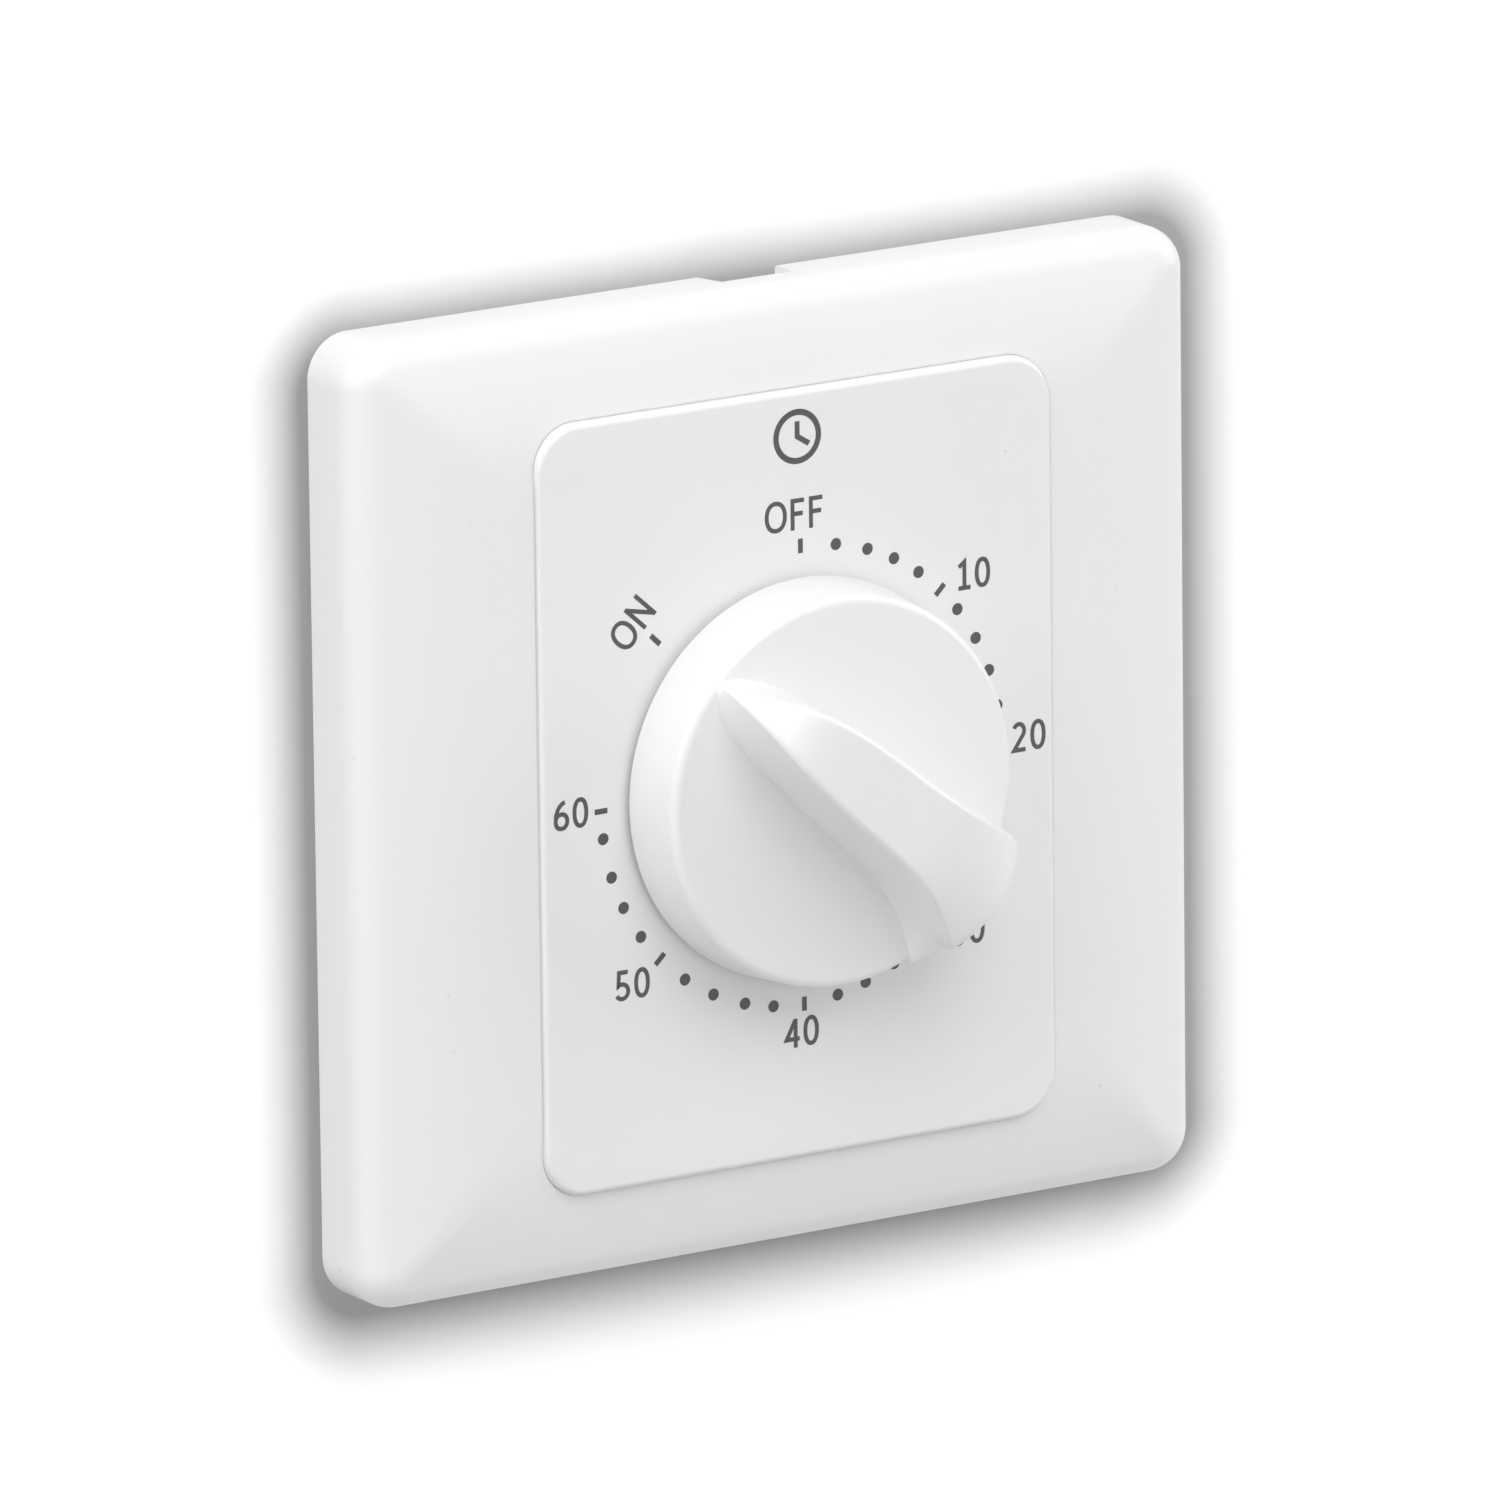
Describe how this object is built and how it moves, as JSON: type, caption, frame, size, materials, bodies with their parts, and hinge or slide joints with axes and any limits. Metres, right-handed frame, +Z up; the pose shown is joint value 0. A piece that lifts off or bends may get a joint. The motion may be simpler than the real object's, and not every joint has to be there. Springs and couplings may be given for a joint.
{
  "type": "timer light switch",
  "caption": "Square white wall plate with a clockwork countdown light switch: raised dial panel, round knob with a pointed grip bar, and a rear box with gear train, contacts and terminals.",
  "frame": {"origin": "centre of the two fixing slots, on the plane of the wall", "axes": "+X right seen from the front, +Y into the wall, +Z up; the dial faces -Y"},
  "size_m": [0.087, 0.0457, 0.087],
  "materials": {
    "white_shell": "gloss",
    "cover_shell": "satin",
    "plated_steel": "zinc plated",
    "spring_steel": "blued",
    "steel": "turned",
    "plate_steel": "plated sheet",
    "brass": "stamped",
    "bronze": "rolled strip",
    "nylon": "satin",
    "phenolic": "moulded",
    "silver": "bright"
  },
  "bodies": {
    "housing": {"front_frame": "white_shell", "base_plate": "white_shell", "rear_cover": "cover_shell", "cover_screws": "plated_steel", "mainspring": "spring_steel", "spring_post": "steel", "stop_pin": "steel", "front_movement_plate": "plate_steel", "rear_movement_plate": "plate_steel", "pillars": "steel", "pillar_screws": "plated_steel", "movement_screws": "plated_steel", "terminal_block": "phenolic", "line_terminal": "brass", "load_terminal": "brass", "terminal_screws": "plated_steel", "moving_blade": "bronze", "fixed_blade": "bronze", "moving_contact": "silver", "fixed_contact": "silver"},
    "dial": {"knob": "white_shell", "knob_clip": "spring_steel", "main_arbor": "steel", "switch_cam": "nylon", "great_wheel": "brass", "clutch_washer": "spring_steel", "clutch_collar": "brass"},
    "second_gear": {"second_pinion": "steel", "second_wheel": "brass"},
    "third_gear": {"third_pinion": "steel", "third_wheel": "brass"},
    "escape_gear": {"escape_pinion": "steel", "escape_wheel": "brass"},
    "verge_swinger": {"verge_arbor": "steel", "verge": "steel", "pallet_pins": "steel"}
  },
  "joints": [
    {"name": "knob_turn", "type": "hinge", "parent": "housing", "child": "dial", "pos_m": [0, 0, 0], "axis": [0, 1, 0], "range_deg": [0, 324], "deforming": ["mainspring", "moving_blade"]},
    {"name": "second_spin", "type": "hinge", "parent": "housing", "child": "second_gear", "pos_m": [-0.00962, 0, -0.00962], "axis": [0, 1, 0], "continuous": true},
    {"name": "third_spin", "type": "hinge", "parent": "housing", "child": "third_gear", "pos_m": [0.00062, 0, -0.01417], "axis": [0, 1, 0], "range_deg": [0, 14579.9]},
    {"name": "escape_spin", "type": "hinge", "parent": "housing", "child": "escape_gear", "pos_m": [0.0112, 0, -0.01053], "axis": [0, 1, 0], "continuous": true},
    {"name": "verge_swing", "type": "hinge", "parent": "housing", "child": "verge_swinger", "pos_m": [0.01667, 0, -0.00401], "axis": [0, 1, 0], "range_deg": [-3, 3]}
  ],
  "couplings": [
    {"joint": "knob_turn", "follows": "third_spin", "ratio": 0.022222},
    {"joint": "second_spin", "follows": "third_spin", "ratio": -0.16667},
    {"joint": "escape_spin", "follows": "third_spin", "ratio": -6}
  ]
}
